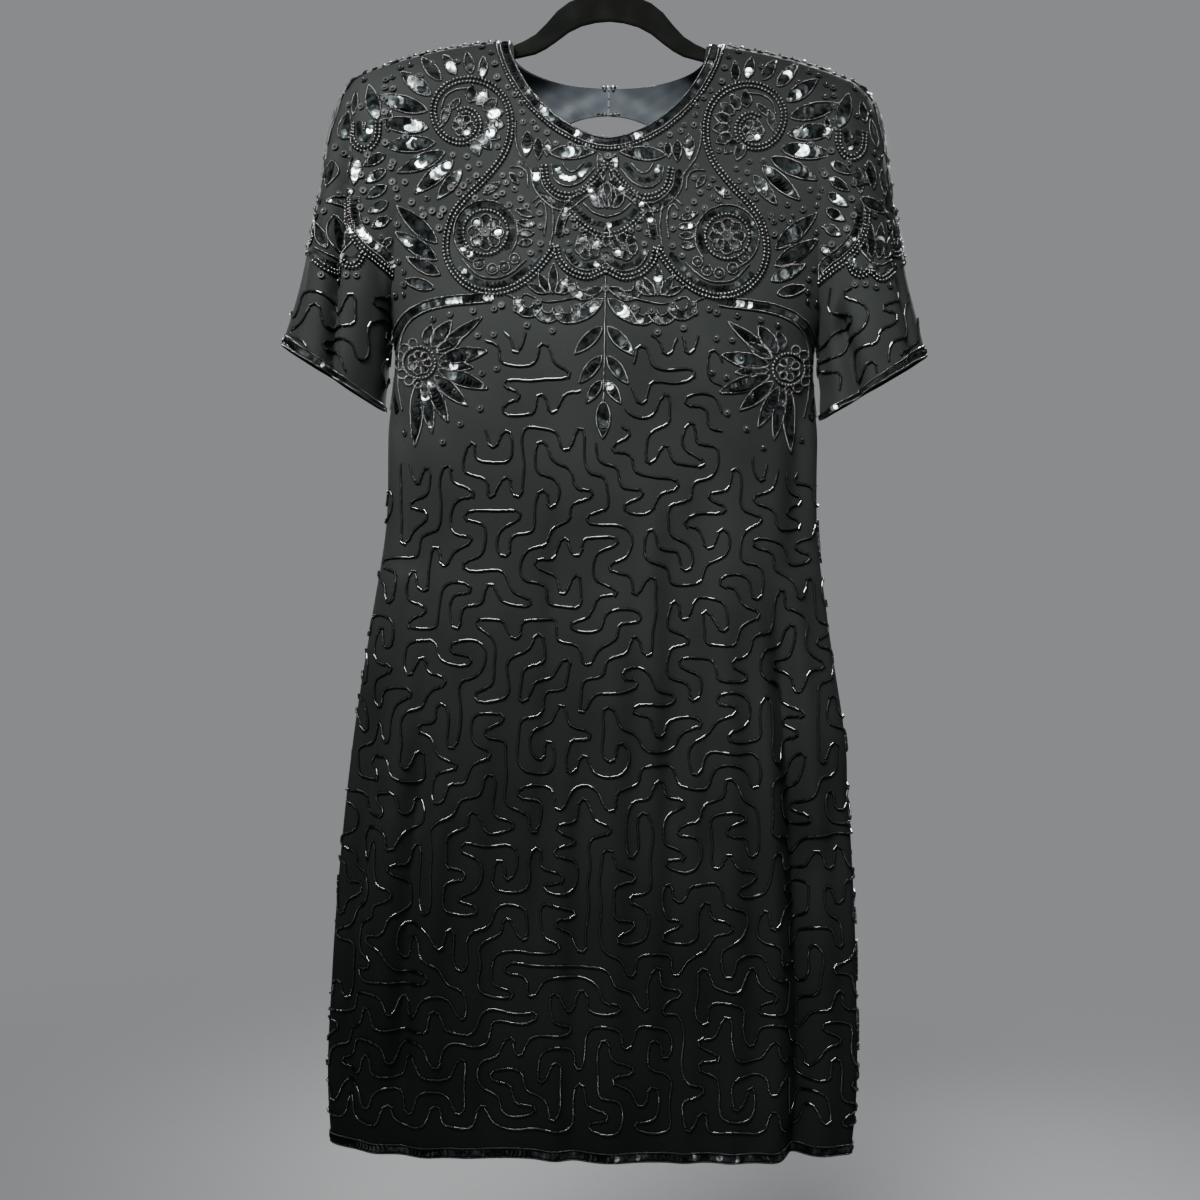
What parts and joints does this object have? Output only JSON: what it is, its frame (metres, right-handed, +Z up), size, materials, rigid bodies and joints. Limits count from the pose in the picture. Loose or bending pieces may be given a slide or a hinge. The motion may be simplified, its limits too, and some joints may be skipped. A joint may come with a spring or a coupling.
{
  "type": "cocktail dress on a clothes hanger",
  "caption": "Short beaded sheath dress with short sleeves and a keyhole back, hung on a thin flocked hanger.",
  "frame": {"origin": "inside of the hook's top, where a rail touches it", "axes": "+Z up, -Y out of the dress's front, +X towards the wearer's left"},
  "size_m": [0.546, 0.1042, 1.0571],
  "materials": {
    "crepe": "matt black silk crepe, beaded all over",
    "satin": "slate satin lining",
    "jet": "polished jet",
    "flock": "short black flock",
    "chrome": "bright plated wire"
  },
  "bodies": {
    "root": {"front": "crepe", "back_left": "crepe", "back_right": "crepe", "sleeve_left": "crepe", "sleeve_right": "crepe", "neck_facing_left": "satin", "neck_facing_right": "satin", "nape_button_upper": "jet", "nape_button_lower": "jet", "nape_loop_upper": "crepe", "nape_loop_lower": "crepe", "hanger": "flock", "hanger_hook": "chrome"}
  },
  "joints": []
}
